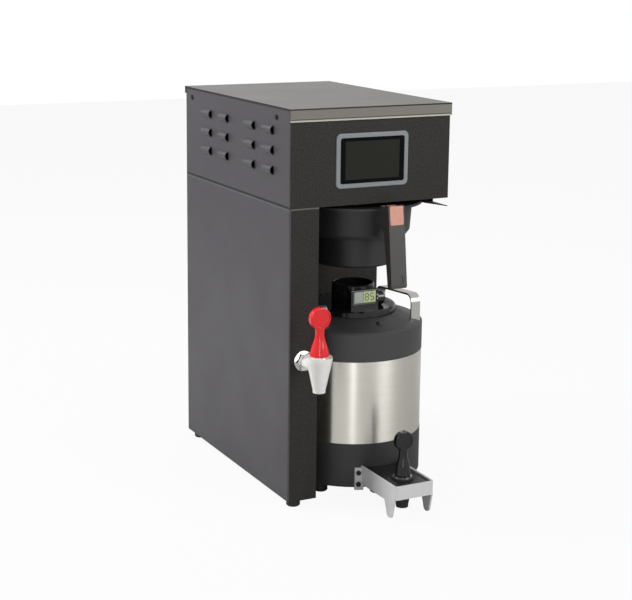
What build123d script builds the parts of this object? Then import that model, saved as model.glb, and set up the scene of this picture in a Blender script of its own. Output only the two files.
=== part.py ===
"""Coffee brewer with a pull-out brew cone, a lever faucet for hot water and a thermal server.

Millimetres. +X is the brewer's right as seen from the front, +Y runs to the back and +Z is up.
The origin is on the counter, under the middle of the whole object.
"""

import os
from math import asin, atan2, copysign, cos, radians, sin, sqrt

from build123d import *

# Casing
case_w = 280.0
case_d = 410.0
case_h = 620.0
foot_h = 12.0
sheet = 1.2
column_w = 49.0
bay_d = 223.0
head_h = 152.0

# Top cover
cover_over = 1.5
cover_lip_out = 3.0
cover_lip_h = 20.0
cover_hem_h = 3.0
rear_lip_h = 12.0
cover_flange_h = 24.0
cover_flange_in_front = 20.0
cover_flange_in_back = 10.0
cover_hem_set = 0.6
cover_screw_drop = 17.0
cover_screw_in_front = 49.5
cover_screw_in_back = 26.5
cover_screw_r = 2.0
cover_screw_head_r = 4.0
cover_screw_head_t = 1.3
cover_screw_tip = 8.0
screw_fit = 0.1

# Louvres in both upper side panels: two pairs of columns, three rows
louvre_l = 50.0
louvre_h = 15.0
louvre_sink = 1.6
louvre_pitch_z = 31.0
louvre_first_y = 61.0
louvre_pair_y = 68.5
louvre_group_y = 171.0
louvre_low = 52.0

# Touch screen in the head's front
bezel_w = 127.0
bezel_h = 85.0
bezel_border = 7.0
bezel_proud = 2.5
bezel_depth = 12.0
bezel_corner = 8.0
screen_up = 69.0
screen_fit = 0.2
screen_ledge = 2.0
glass_t = 3.0
glass_sink = 1.5
module_t = 8.0

# Brewer's feet
foot_r = 11.0
foot_in = 17.0
foot_edge = 1.5

# Water side, inside the casing
tank_wall = 1.2
tank_side_gap = 22.0
tank_front_gap = 14.0
tank_back_gap = 26.0
tank_bottom = 190.0
tank_top_gap = 92.0
tank_corner = 12.0
tank_leg = 16.0
tank_leg_in = 14.0
element_r = 4.0
element_loop_w = 60.0
element_loop_h = 90.0
element_tail = 14.0
element_plate = 12.0
element_plate_t = 3.0
probe_r = 4.0
probe_l = 60.0
probe_in = 30.0
probe_hex_r = 9.0
probe_hex_h = 9.0
tube_r = 5.0
tube_wall = 1.0
tube_bend = 14.0
feed_up = 60.0
inlet_from_left = 90.0
inlet_r = 7.9
inlet_bore_r = 5.0
inlet_collar = 2.0
inlet_reach = 24.0
inlet_up = 96.0
inlet_body = 28.0
inlet_body_d = 26.0
coil_r = 10.0
coil_h = 34.0
inlet_pipe_out = 34.0
dispense_in = 30.0
dispense_body = 30.0
dispense_body_h = 24.0
dispense_coil_r = 11.0
dispense_coil_h = 26.0
gland_from_right = 70.0
gland_bore_r = 5.2
gland_wall = 2.8
gland_hex = 6.8
gland_hex_t = 8.0
gland_nut_t = 5.0
gland_cap = 4.5
gland_tail = 12.0
gland_up = 60.0
gland_reach = 20.0
spray_r = 45.0
spray_t = 7.0
spray_neck_up = 12.0
hot_pipe_in = 20.0
hot_pipe_drop = 24.0
hot_pipe_back = 40.0

# Control board on the head's floor
board_w = 90.0
board_d = 60.0
board_t = 1.6
board_from_left = 40.0
board_from_front = 30.0
standoff_r = 3.0
standoff_h = 8.0
standoff_in = 6.0
relay_h = 14.4
chip_h = 6.4
spray_holes = 12
spray_hole_r = 1.5
spray_face = 2.0

# Power switch in the back
switch_w = 30.0
switch_h = 22.0
switch_depth = 24.0
switch_from_right = 62.0
switch_drop = 110.0
switch_rim = 3.0
switch_rim_t = 2.0
rocker_in = 6.0
rocker_gap = 0.4
rocker_axle_r = 1.5
rocker_root = 6.0
rocker_side = 2.0
rocker_face = 7.2
rocker_dip = 2.0
rocker_edge = 1.0
rocker_swing = 20.0

# Bay: what stands in it is centred a little to the right of its middle
bay_shift = 2.5
server_side_gap = 0.5
cone_side_gap = 5.5

# Rails that carry the brew cone
rail_in = 3.0
rail_drop = 14.0
rail_lead_in = 44.0
rail_gap = 1.5

# Brew cone
cone_flange_w = 16.0
cone_flange_t = 4.0
cone_taper = 3.0
cone_step_w = 23.0
cone_low_taper = 2.0
cone_step_drop = 59.0
cone_drop = 112.0
cone_wall = 3.0
cone_outlet_r = 6.0
cone_outlet_l = 6.0
brew_gap = 30.0
cone_float = 0.3
handle_w = 28.0
handle_t = 12.0
handle_reach = 25.0
handle_low = 1.0
handle_lean = 15.0
handle_drop = 129.0
neck_drop = 3.0
neck_h = 30.0
insert_w = 24.0
insert_h = 30.0
insert_t = 1.6
insert_proud = 0.5
insert_corner = 3.0
insert_fit = 0.2
plug_r = 8.0
plug_up = 14.0
plug_sink = 1.2
basket_gap = 3.0
basket_wall = 1.0
basket_leg = 4.0
basket_rim_drop = 6.0
basket_rim = 2.0
basket_hole_r = 3.0

# Thermal server
server_from_front = 104.0
server_foot_h = 18.0
server_foot_r = 11.5
server_feet_count = 6
server_feet_in = 23.0
base_h = 73.0
shell_set_in = 0.5
shell_t = 1.0
collar_h = 47.0
ledge_w = 9.0
ledge_rise = 3.0
shoulder_w = 32.0
shoulder_rise = 11.0
server_wall = 3.0
liner_gap = 6.0
liner_t = 1.0
mouth_in = 12.0

# Server's lid
lid_set_in = 3.5
lid_t = 9.5
lid_gap = 1.0
plug_play = 2.0
funnel_r = 35.0
funnel_h = 34.5
funnel_wall = 3.5
funnel_hole_r = 5.0
lid_tube_l = 26.0
knuckle_r = 5.0
knuckle_l = 16.0
hinge_pin_r = 2.0
hinge_fit = 0.05
hinge_out = 11.5
hinge_up = 2.0
ear_w = 7.6
ear_gap = 0.4
display_w = 50.0
display_h = 30.0
display_front = 44.0
display_screen_w = 42.0
display_screen_h = 21.5
display_cap_r = 12.0
display_cap_l = 13.0
display_shift = 1.7
display_screen_drop = 3.1
display_screen_t = 1.2
display_screen_sink = 0.8
display_fit = 0.2

# Latch button on the shoulder
latch_r = 5.0
latch_fit = 0.3
latch_l = 9.0
latch_proud = 1.5

# Strap handles of the server
strap_w = 16.5
strap_t = 3.0
strap_in = 35.5
strap_front_in = 45.5
strap_rear_in = 67.5
strap_fall = 8.0
strap_up = 31.0
strap_bend = 13.0
strap_fit = 0.2
strap_sink = 1.0
strap_slot = 8.0

# Guard round the server's faucet
guard_reach = 103.5
guard_half = 35.0
guard_shift = -4.5
guard_t = 3.0
guard_top = 55.0
guard_front_h = 22.0
guard_side_h = 30.0
guard_leg_w = 30.0
guard_corner = 6.0
guard_flange_w = 12.5
guard_flange_bottom = 15.0
guard_flange_top = 52.0
guard_screw_r = 2.0
guard_screw_head_r = 4.0
guard_screw_head_t = 2.2
guard_screw_low = 10.0
guard_screw_high = 8.0
guard_tip_r = 9.0
tray_t = 4.0
tray_sink = 2.5
tray_fit = 0.3
tray_hole_fit = 0.5

# Lever faucets: the same valve at the column and on the server
faucet_spout_r = 9.7
faucet_bore_r = 5.5
faucet_cup_r = 13.0
faucet_floor = 10.0
faucet_lip = 5.0
shank_r = 9.0
shank_bore_r = 4.0
nut_flats = 26.0
nut_t = 9.0
washer_r = 16.0
washer_t = 2.0
bonnet_r = 14.5
bonnet_t = 1.5
bonnet_spigot = 8.0
stem_r = 3.0
stem_fit = 0.08
stem_up = 4.0
seat_r = 7.5
seat_t = 8.0
seat_gap = 0.3
seat_side = 0.9
lever_gap = 0.4
lever_neck_r = 7.0
lever_flat_w = 5.5
lever_flare_h = 20.0
lever_flare_r = 10.0
lever_disc_t = 11.0
lever_disc_edge = 2.0
lever_rim_w = 3.0
lever_recess = 0.8
lever_cavity_r = 7.0
lever_cavity_h = 14.0
hot_from_left = 23.7
hot_reach = 55.0
hot_shank_tail = 12.0
hot_shank_up = 241.0
hot_shank_in_body = 36.0
hot_body_h = 56.0
hot_body_r = 20.0
hot_skirt_r = 15.0
hot_disc_r = 17.0
hot_disc_up = 60.0
server_faucet_reach = 65.5
server_shank_up = 30.0
server_shank_in_body = 24.0
server_body_h = 50.0
server_body_r = 17.0
server_skirt_r = 12.5
server_disc_r = 15.5
server_disc_up = 58.5

# Places worked out from the sizes above
bay_half = (case_w - column_w) / 2
server_r = bay_half - server_side_gap
ledge_r = server_r - ledge_w
shoulder_r = ledge_r - shoulder_w
mouth_r = shoulder_r - mouth_in
lid_r = shoulder_r - lid_set_in
cone_flange_r = bay_half - cone_side_gap
cone_top_r = cone_flange_r - cone_flange_w
cone_step_r = cone_top_r - cone_taper
cone_low_r = cone_step_r - cone_step_w
cone_bottom_r = cone_low_r - cone_low_taper
left = -case_w / 2
front = (server_r + guard_reach - server_from_front - case_d - inlet_reach) / 2
right = left + case_w
back = front + case_d
middle = left + case_w / 2
column_x = left + column_w
bay_y = front + bay_d
roof_z = foot_h + case_h
head_z = roof_z - head_h
server_x = column_x + bay_half + bay_shift
server_y = front + server_from_front
guard_x = server_x + guard_shift
server_tall = base_h + collar_h + ledge_rise + shoulder_rise + lid_gap + lid_t + funnel_h
shell_h = head_z - cone_drop - cone_outlet_l - brew_gap - server_foot_h - server_tall
base_z = server_foot_h
shell_z = base_z + base_h
collar_z = shell_z + shell_h
ledge_z = collar_z + collar_h
shoulder_z = ledge_z + ledge_rise
mouth_z = shoulder_z + shoulder_rise
lid_z = mouth_z + lid_gap
lid_top = lid_z + lid_t
funnel_top = lid_top + funnel_h
strap_top = mouth_z + strap_up

os.makedirs("parts", exist_ok=True)


def save(piece, name):
    piece.part.label = name
    export_step(piece.part, f"parts/{name}.step")


def slab(x, y, z, mode=Mode.ADD):
    """A rectangular block between two limits along each axis, in the part being built."""
    with Locations(((x[0] + x[1]) / 2, (y[0] + y[1]) / 2, (z[0] + z[1]) / 2)):
        Box(x[1] - x[0], y[1] - y[0], z[1] - z[0], mode=mode)


def rod(start, direction, radius, length, mode=Mode.ADD):
    """A round bar that starts at a point and runs along a direction."""
    plane = Plane(origin=start, z_dir=direction)
    with Locations(plane.location):
        Cylinder(radius, length, align=(Align.CENTER, Align.CENTER, Align.MIN), mode=mode)


def turned(outline, x, y):
    """A solid turned about an upright axis from a closed outline of radius and height."""
    with BuildPart() as piece:
        with BuildSketch(Plane(origin=(x, y, 0), x_dir=(1, 0, 0), z_dir=(0, -1, 0))):
            with BuildLine():
                Polyline(*outline, close=True)
            make_face()
        revolve(axis=Axis((x, y, 0), (0, 0, 1)))
    return piece


# Casing: base pan

with BuildPart() as base_pan:
    slab((left + sheet, column_x - sheet), (front + sheet, back - sheet), (foot_h, foot_h + sheet))
    slab((column_x - sheet, right - sheet), (bay_y + sheet, back - sheet), (foot_h, foot_h + sheet))
save(base_pan, "base_pan")

# Casing: walls below the head

with BuildPart() as left_panel:
    slab((left, left + sheet), (front, back), (foot_h, head_z))
save(left_panel, "lower_left_panel")

with BuildPart() as column_front:
    slab((left + sheet, column_x), (front, front + sheet), (foot_h, head_z))
    rod((left + hot_from_left, front - sheet, hot_shank_up), (0, 1, 0), shank_r + screw_fit, 3 * sheet,
        mode=Mode.SUBTRACT)
save(column_front, "column_front")

with BuildPart() as column_wall:
    slab((column_x - sheet, column_x), (front + sheet, bay_y + sheet), (foot_h, head_z))
save(column_wall, "column_inner_wall")

with BuildPart() as bay_wall:
    slab((column_x, right - sheet), (bay_y, bay_y + sheet), (foot_h, head_z))
save(bay_wall, "bay_back_wall")

with BuildPart() as right_panel:
    slab((right - sheet, right), (bay_y, back), (foot_h, head_z))
save(right_panel, "lower_right_panel")

# Casing: head

spray_hole = spray_r * 0.4
head_floor_z = head_z + sheet
hot_tube_y = front + hot_pipe_back

with BuildPart() as head_floor:
    slab((left + sheet, right - sheet), (front + sheet, bay_y + sheet), (head_z, head_floor_z))
    rod((server_x, server_y, head_z - 1), (0, 0, 1), spray_hole, sheet + 2, mode=Mode.SUBTRACT)
    rod((left + hot_from_left, hot_tube_y, head_z - 1), (0, 0, 1), tube_r + 2 * tube_wall, sheet + 2,
        mode=Mode.SUBTRACT)
save(head_floor, "head_floor")

panel_top = roof_z - sheet
screen_z = head_z + screen_up
window_w = bezel_w - 2 * bezel_border
window_h = bezel_h - 2 * bezel_border
cut_w = window_w + 2 * screen_ledge
cut_h = window_h + 2 * screen_ledge
screen_plane = Plane(origin=(middle, front, screen_z), x_dir=(1, 0, 0), z_dir=(0, -1, 0))

with BuildPart() as head_front:
    slab((left, right), (front, front + sheet), (head_z, panel_top))
    with BuildSketch(screen_plane):
        RectangleRounded(cut_w + 2 * screen_fit, cut_h + 2 * screen_fit, bezel_corner / 2)
    extrude(amount=-sheet, mode=Mode.SUBTRACT)
save(head_front, "head_front_panel")


def louvred_panel(face_x, outward):
    """An upper side panel with pressed half-round louvres that open towards the front."""
    inner_x = face_x - outward * sheet
    axis_x = face_x - outward * louvre_sink
    outer_r = louvre_h / 2
    inner_r = outer_r - sheet
    places = [
        (front + louvre_first_y + pair * louvre_pair_y + group * louvre_group_y,
         head_z + louvre_low + row * louvre_pitch_z)
        for group in range(2) for pair in range(2) for row in range(3)
    ]
    with BuildPart() as panel:
        slab(sorted((face_x, inner_x)), (front + sheet, back), (head_z, panel_top))
        hoods = ((outer_r, louvre_l, Mode.ADD), (inner_r, louvre_l - 2 * sheet, Mode.SUBTRACT))
        for radius, length, mode in hoods:
            hood = louvre_hood(radius, length)
            with Locations(*[(axis_x, open_y, mid_z) for open_y, mid_z in places]):
                add(hood.part, mode=mode)
        beyond = inner_x - outward * 2 * outer_r
        slab(sorted((inner_x, beyond)), (front + sheet, back), (head_z, panel_top), mode=Mode.SUBTRACT)
        for screw_y in (front + cover_screw_in_front, back - cover_screw_in_back):
            rod((inner_x - outward, screw_y, roof_z - cover_screw_drop), (outward, 0, 0),
                cover_screw_r + screw_fit, sheet + 2, mode=Mode.SUBTRACT)
    return panel


def louvre_hood(radius, length):
    """A half-round hood that tapers backwards from its open front end."""
    with BuildPart() as hood:
        with BuildSketch():
            with BuildLine():
                Polyline((0, 0), (radius, 0), (radius * 0.9, length * 0.5), (radius * 0.5, length * 0.85),
                         (0, length), close=True)
            make_face()
        revolve(axis=Axis.Y)
    return hood


with BuildPart() as louvred_panels:
    for face_x, outward in ((left, -1), (right, 1)):
        add(louvred_panel(face_x, outward).part)
save(louvred_panels, "louvred_panels")

switch_x = right - switch_from_right
switch_z = roof_z - switch_drop
inlet_x = left + inlet_from_left
inlet_z = foot_h + inlet_up
gland_x = right - gland_from_right
gland_z = foot_h + gland_up

with BuildPart() as rear_panel:
    slab((left + sheet, right - sheet), (back - sheet, back), (foot_h, panel_top))
    slab((switch_x - switch_w / 2, switch_x + switch_w / 2), (back - 2 * sheet, back + 1),
         (switch_z - switch_h / 2, switch_z + switch_h / 2), mode=Mode.SUBTRACT)
    rod((inlet_x, back - 2 * sheet, inlet_z), (0, 1, 0), inlet_r + inlet_collar + screw_fit, 3 * sheet,
        mode=Mode.SUBTRACT)
    rod((gland_x, back - 2 * sheet, gland_z), (0, 1, 0), gland_bore_r + gland_wall + screw_fit, 3 * sheet,
        mode=Mode.SUBTRACT)
save(rear_panel, "rear_panel")

# Top cover with a hemmed front lip, a rear lip and two inner flanges

cover_front = front - cover_lip_out

with BuildPart() as top_cover:
    slab((left - cover_over, right + cover_over), (cover_front, back + cover_lip_out), (panel_top, roof_z))
    slab((left - cover_over, right + cover_over), (cover_front, cover_front + sheet),
         (roof_z - cover_lip_h, panel_top))
    slab((left - cover_over, right + cover_over),
         (cover_front - cover_hem_set, cover_front + 2 * sheet - cover_hem_set),
         (roof_z - cover_lip_h, roof_z - cover_lip_h + cover_hem_h))
    slab((left - cover_over, right + cover_over), (back + cover_lip_out - sheet, back + cover_lip_out),
         (roof_z - rear_lip_h, panel_top))
    for inner_x, inward in ((left + sheet, 1), (right - sheet, -1)):
        slab(sorted((inner_x, inner_x + inward * sheet)), (front + cover_flange_in_front, back - cover_flange_in_back),
             (roof_z - cover_flange_h, panel_top))
        for screw_y in (front + cover_screw_in_front, back - cover_screw_in_back):
            rod((inner_x - inward, screw_y, roof_z - cover_screw_drop), (inward, 0, 0), cover_screw_r,
                sheet + 2, mode=Mode.SUBTRACT)
save(top_cover, "top_cover")

with BuildPart() as cover_screws:
    for face_x, inward in ((left, 1), (right, -1)):
        for screw_y in (front + cover_screw_in_front, back - cover_screw_in_back):
            start = (face_x - inward * cover_screw_head_t, screw_y, roof_z - cover_screw_drop)
            rod(start, (inward, 0, 0), cover_screw_head_r, cover_screw_head_t)
            rod(start, (inward, 0, 0), cover_screw_r, cover_screw_head_t + cover_screw_tip)
save(cover_screws, "cover_screws")

# Touch screen

with BuildPart() as bezel:
    with BuildSketch(screen_plane):
        RectangleRounded(bezel_w, bezel_h, bezel_corner)
        RectangleRounded(window_w, window_h, bezel_corner / 2, mode=Mode.SUBTRACT)
    extrude(amount=bezel_proud)
    fillet(bezel.faces().sort_by(Axis.Y)[0].outer_wire().edges(), bezel_proud * 0.6)
    with BuildSketch(screen_plane):
        RectangleRounded(cut_w, cut_h, bezel_corner / 2)
        RectangleRounded(window_w, window_h, bezel_corner / 2, mode=Mode.SUBTRACT)
    extrude(amount=-bezel_depth)
save(bezel, "screen_bezel")

with BuildPart() as glass:
    with BuildSketch(screen_plane.offset(bezel_proud - glass_sink)):
        RectangleRounded(window_w - 2 * screen_fit, window_h - 2 * screen_fit, bezel_corner / 2 - screen_fit)
    extrude(amount=-glass_t)
    with BuildSketch(screen_plane.offset(bezel_proud - glass_sink - glass_t)):
        Rectangle(window_w - 2 * screen_ledge, window_h - 2 * screen_ledge)
    extrude(amount=-module_t)
save(glass, "touch_screen")

# Feet of the brewer

foot_places = [
    (left + foot_in, front + foot_in),
    (left + foot_in, back - foot_in),
    (right - foot_in, bay_y + foot_in),
    (right - foot_in, back - foot_in),
]

with BuildPart() as brewer_feet:
    with BuildSketch():
        with Locations(*foot_places):
            Circle(foot_r)
    extrude(amount=foot_h)
    chamfer(brewer_feet.faces().filter_by(Axis.Z).group_by(Axis.Z)[0].edges(), foot_edge)
save(brewer_feet, "brewer_feet")

# Water tank with its legs, standing on the base pan

tank_x = (column_x + tank_side_gap, right - tank_side_gap)
tank_y = (bay_y + tank_front_gap, back - tank_back_gap)
tank_top = roof_z - tank_top_gap
element_x = (tank_x[0] + tank_x[1]) / 2
element_y = (tank_y[0] + tank_y[1]) / 2
pan_top = foot_h + sheet
feed_z = tank_bottom + feed_up
probe_y = tank_y[1] - probe_in

with BuildPart() as water_tank:
    slab(tank_x, tank_y, (tank_bottom, tank_top))
    fillet(water_tank.edges().filter_by(Axis.Z), tank_corner)
    slab((tank_x[0] + tank_wall, tank_x[1] - tank_wall), (tank_y[0] + tank_wall, tank_y[1] - tank_wall),
         (tank_bottom + tank_wall, tank_top - tank_wall), mode=Mode.SUBTRACT)
    for corner_x in (tank_x[0] + tank_leg_in, tank_x[1] - tank_leg_in - tank_leg):
        for corner_y in (tank_y[0] + tank_leg_in, tank_y[1] - tank_leg_in - tank_leg):
            slab((corner_x, corner_x + tank_leg), (corner_y, corner_y + tank_leg), (pan_top, tank_bottom))
    for stud in (-1, 1):
        rod((element_x + stud * element_loop_w / 2, element_y, tank_bottom - 1), (0, 0, 1),
            element_r + screw_fit, tank_wall + 2, mode=Mode.SUBTRACT)
    rod((element_x, probe_y, tank_top - tank_wall - 1), (0, 0, 1), probe_r + screw_fit, tank_wall + 2,
        mode=Mode.SUBTRACT)
save(water_tank, "water_tank")

with BuildPart() as element:
    with BuildLine() as element_line:
        FilletPolyline(
            (element_x - element_loop_w / 2, element_y, tank_bottom - element_tail),
            (element_x - element_loop_w / 2, element_y, tank_bottom + element_loop_h),
            (element_x + element_loop_w / 2, element_y, tank_bottom + element_loop_h),
            (element_x + element_loop_w / 2, element_y, tank_bottom - element_tail),
            radius=element_loop_w * 0.4,
        )
    with BuildSketch(Plane(origin=element_line.line @ 0, z_dir=(0, 0, 1))):
        Circle(element_r)
    sweep()
    slab((element_x - element_loop_w / 2 - element_plate, element_x + element_loop_w / 2 + element_plate),
         (element_y - element_plate, element_y + element_plate), (tank_bottom - element_plate_t, tank_bottom))
save(element, "heating_element")

with BuildPart() as level_probe:
    rod((element_x, probe_y, tank_top - probe_l), (0, 0, 1), probe_r, probe_l)
    with BuildSketch(Plane.XY.offset(tank_top)):
        with Locations((element_x, probe_y)):
            RegularPolygon(probe_hex_r, 6)
    extrude(amount=probe_hex_h)
save(level_probe, "level_probe")

# Inlet valve, its threaded inlet through the rear panel and its pipe to the tank

valve_y = (back - sheet - inlet_body_d, back - sheet)
valve_middle = (valve_y[0] + valve_y[1]) / 2
valve_half = inlet_body / 2

with BuildPart() as inlet_valve:
    slab((inlet_x - valve_half, inlet_x + valve_half), valve_y, (inlet_z - valve_half, inlet_z + valve_half))
    rod((inlet_x, back - sheet, inlet_z), (0, 1, 0), inlet_r + inlet_collar, sheet + inlet_collar)
    rod((inlet_x, back, inlet_z), (0, 1, 0), inlet_r, inlet_reach)
    rod((inlet_x, back + inlet_collar, inlet_z), (0, 1, 0), inlet_bore_r, inlet_reach, mode=Mode.SUBTRACT)
    rod((inlet_x, valve_middle, inlet_z + valve_half), (0, 0, 1), coil_r, coil_h)
save(inlet_valve, "inlet_valve")

pipe_x = tank_x[0] - inlet_pipe_out

with BuildPart() as inlet_pipe:
    with BuildLine() as inlet_line:
        FilletPolyline(
            (inlet_x - valve_half, valve_middle, inlet_z),
            (pipe_x, valve_middle, inlet_z),
            (pipe_x, valve_middle, feed_z),
            (pipe_x, element_y, feed_z),
            (tank_x[0], element_y, feed_z),
            radius=tube_bend * 0.7,
        )
    with BuildSketch(Plane(origin=inlet_line.line @ 0, z_dir=inlet_line.line % 0)):
        Circle(tube_r)
        Circle(tube_r - tube_wall, mode=Mode.SUBTRACT)
    sweep()
save(inlet_pipe, "inlet_pipe")

# Dispense valve on the tank's top and its pipe to the spray head

dispense_x = server_x
dispense_y = tank_y[0] + dispense_in
dispense_half = dispense_body / 2
dispense_z = tank_top + dispense_body_h / 2

with BuildPart() as dispense_valve:
    slab((dispense_x - dispense_half, dispense_x + dispense_half),
         (dispense_y - dispense_half, dispense_y + dispense_half), (tank_top, tank_top + dispense_body_h))
    rod((dispense_x, dispense_y, tank_top + dispense_body_h), (0, 0, 1), dispense_coil_r, dispense_coil_h)
save(dispense_valve, "dispense_valve")

spray_top = head_floor_z + spray_neck_up

with BuildPart() as dispense_pipe:
    with BuildLine() as dispense_line:
        FilletPolyline(
            (dispense_x, dispense_y - dispense_half, dispense_z),
            (server_x, server_y, dispense_z),
            (server_x, server_y, spray_top),
            radius=tube_bend,
        )
    with BuildSketch(Plane(origin=dispense_line.line @ 0, z_dir=dispense_line.line % 0)):
        Circle(tube_r)
        Circle(tube_r - tube_wall, mode=Mode.SUBTRACT)
    sweep()
save(dispense_pipe, "dispense_pipe")

with BuildPart() as spray_head:
    rod((server_x, server_y, head_z - spray_t), (0, 0, 1), spray_r, spray_t)
    rod((server_x, server_y, head_z), (0, 0, 1), spray_hole - screen_fit, spray_top - head_z)
    rod((server_x, server_y, head_z - spray_t + spray_face), (0, 0, 1), tube_r - tube_wall, spray_top,
        mode=Mode.SUBTRACT)
    with Locations(Plane.XY.offset(head_z - spray_t).location):
        with Locations((server_x, server_y)):
            with PolarLocations(spray_r * 0.7, spray_holes):
                Cylinder(spray_hole_r, 2 * spray_face, mode=Mode.SUBTRACT)
save(spray_head, "spray_head")

# Control board on standoffs over the head's floor

board_x = left + board_from_left
board_y = front + board_from_front
board_z = head_floor_z + standoff_h
board_face = board_z + board_t

with BuildPart() as control_board:
    slab((board_x, board_x + board_w), (board_y, board_y + board_d), (board_z, board_face))
    for standoff_x in (board_x + standoff_in, board_x + board_w - standoff_in):
        for standoff_y in (board_y + standoff_in, board_y + board_d - standoff_in):
            rod((standoff_x, standoff_y, head_floor_z), (0, 0, 1), standoff_r, standoff_h)
    slab((board_x + board_w * 0.2, board_x + board_w * 0.45), (board_y + board_d * 0.25, board_y + board_d * 0.6),
         (board_face, board_face + relay_h))
    slab((board_x + board_w * 0.6, board_x + board_w * 0.85), (board_y + board_d * 0.3, board_y + board_d * 0.75),
         (board_face, board_face + chip_h))
save(control_board, "control_board")

# Cord gland in the rear panel

with BuildPart() as cord_gland:
    rod((gland_x, back - sheet - gland_tail, gland_z), (0, 1, 0), gland_bore_r + gland_wall, gland_tail + sheet)
    with BuildSketch(Plane(origin=(gland_x, back, gland_z), x_dir=(1, 0, 0), z_dir=(0, 1, 0))):
        RegularPolygon(gland_bore_r + gland_hex, 6)
    extrude(amount=gland_hex_t)
    rod((gland_x, back + gland_hex_t, gland_z), (0, 1, 0), gland_bore_r + gland_cap, gland_reach - gland_hex_t)
    with BuildSketch(Plane(origin=(gland_x, back - sheet, gland_z), x_dir=(1, 0, 0), z_dir=(0, -1, 0))):
        RegularPolygon(gland_bore_r + gland_hex, 6)
    extrude(amount=gland_nut_t)
    rod((gland_x, back - 2 * gland_tail, gland_z), (0, 1, 0), gland_bore_r, gland_reach + 3 * gland_tail,
        mode=Mode.SUBTRACT)
save(cord_gland, "cord_gland")

# Power switch: a housing clipped into the rear panel and a rocker on a cross axis

rocker_y = back - rocker_in
rocker_half_w = switch_w / 2 - switch_rim - rocker_gap
rocker_half_h = switch_h / 2 - switch_rim
rocker_tilt = radians(rocker_swing / 2)
rocker_plane = Plane(origin=(switch_x, rocker_y, switch_z), x_dir=(0, cos(rocker_tilt), sin(rocker_tilt)),
                     z_dir=(1, 0, 0))

with BuildPart() as switch_housing:
    slab((switch_x - switch_w / 2 - switch_rim, switch_x + switch_w / 2 + switch_rim), (back, back + switch_rim_t),
         (switch_z - switch_h / 2 - switch_rim, switch_z + switch_h / 2 + switch_rim))
    slab((switch_x - switch_w / 2 + screw_fit, switch_x + switch_w / 2 - screw_fit), (back - switch_depth, back),
         (switch_z - switch_h / 2 + screw_fit, switch_z + switch_h / 2 - screw_fit))
    slab((switch_x - rocker_half_w - rocker_gap, switch_x + rocker_half_w + rocker_gap),
         (back - switch_depth + switch_rim, back + switch_rim_t + 1),
         (switch_z - rocker_half_h - rocker_gap, switch_z + rocker_half_h + rocker_gap), mode=Mode.SUBTRACT)
    rod((switch_x - switch_w / 2 + 1, rocker_y, switch_z), (1, 0, 0), rocker_axle_r, switch_w - 2,
        mode=Mode.SUBTRACT)
save(switch_housing, "switch_housing")

with BuildPart() as switch_rocker:
    with BuildSketch(rocker_plane):
        with BuildLine():
            low_edge = rocker_edge - rocker_half_h
            Polyline((-rocker_root, -rocker_root / 2), (rocker_side, low_edge), (rocker_face, low_edge),
                     (rocker_face - rocker_dip, 0), (rocker_face, -low_edge), (rocker_side, -low_edge),
                     (-rocker_root, rocker_root / 2), close=True)
        make_face()
    extrude(amount=rocker_half_w, both=True)
    rod((switch_x - switch_w / 2 + 1.3, rocker_y, switch_z), (1, 0, 0), rocker_axle_r - hinge_fit, switch_w - 2.6)
save(switch_rocker, "switch_rocker")

# Rails under the head: a web each side with a lip whose front is cut away as a lead-in

lip_z = head_z - rail_drop
lip_inner = cone_top_r + rail_gap

with BuildPart() as cone_rails:
    for web_x, side in ((column_x + rail_in, -1), (right, 1)):
        web = sorted((web_x, web_x - side * sheet))
        slab(web, (front + rail_lead_in, bay_y), (lip_z, head_z))
        with BuildSketch(Plane.XY.offset(lip_z)):
            with BuildLine():
                Polyline((web_x, front), (web_x, bay_y), (server_x + side * lip_inner, bay_y),
                         (server_x + side * lip_inner, front + rail_lead_in), close=True)
            make_face()
        extrude(amount=sheet)
save(cone_rails, "cone_rails")

# Brew cone

flange_z = lip_z + sheet + cone_float
cone_rim = flange_z + cone_flange_t
step_z = head_z - cone_step_drop
bottom_z = head_z - cone_drop

cone_floor_z = bottom_z + cone_wall + 1
drum_z = step_z - cone_wall
drum_bore_r = cone_top_r - cone_wall
outer_cup = [(0, bottom_z), (cone_bottom_r - cone_wall, bottom_z), (cone_bottom_r, bottom_z + cone_wall),
             (cone_low_r, drum_z), (0, drum_z)]
outer_drum = [(cone_low_r - cone_wall, drum_z), (cone_step_r - cone_wall - 1, drum_z),
              (cone_step_r, step_z + cone_wall), (cone_top_r, flange_z), (cone_top_r - cone_wall, flange_z),
              (cone_step_r - cone_wall, step_z + cone_wall), (cone_step_r - cone_wall - 2, step_z),
              (cone_low_r - cone_wall, step_z)]

with BuildPart() as brew_cone:
    add(turned(outer_drum, server_x, server_y).part)
save(brew_cone, "brew_cone")

with BuildPart() as cone_cup:
    add(turned(outer_cup, server_x, server_y).part)
    add(turned([(0, cone_floor_z), (cone_bottom_r - cone_wall, cone_floor_z), (cone_low_r - cone_wall, drum_z + 1),
                (0, drum_z + 1)], server_x, server_y).part, mode=Mode.SUBTRACT)
    rod((server_x, server_y, bottom_z - cone_outlet_l), (0, 0, 1), cone_outlet_r + cone_wall, cone_outlet_l + 1)
    rod((server_x, server_y, bottom_z - cone_outlet_l - 1), (0, 0, 1), cone_outlet_r,
        cone_outlet_l + 2 * cone_wall + 2, mode=Mode.SUBTRACT)
save(cone_cup, "cone_cup")

with BuildPart() as cone_rim_ring:
    with BuildSketch(Plane.XY.offset(flange_z)):
        with Locations((server_x, server_y)):
            Circle(cone_flange_r)
            Circle(drum_bore_r, mode=Mode.SUBTRACT)
    extrude(amount=cone_flange_t)
save(cone_rim_ring, "cone_rim")

# Cone handle: a neck under the head and a bar that hangs down and leans out

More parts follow.
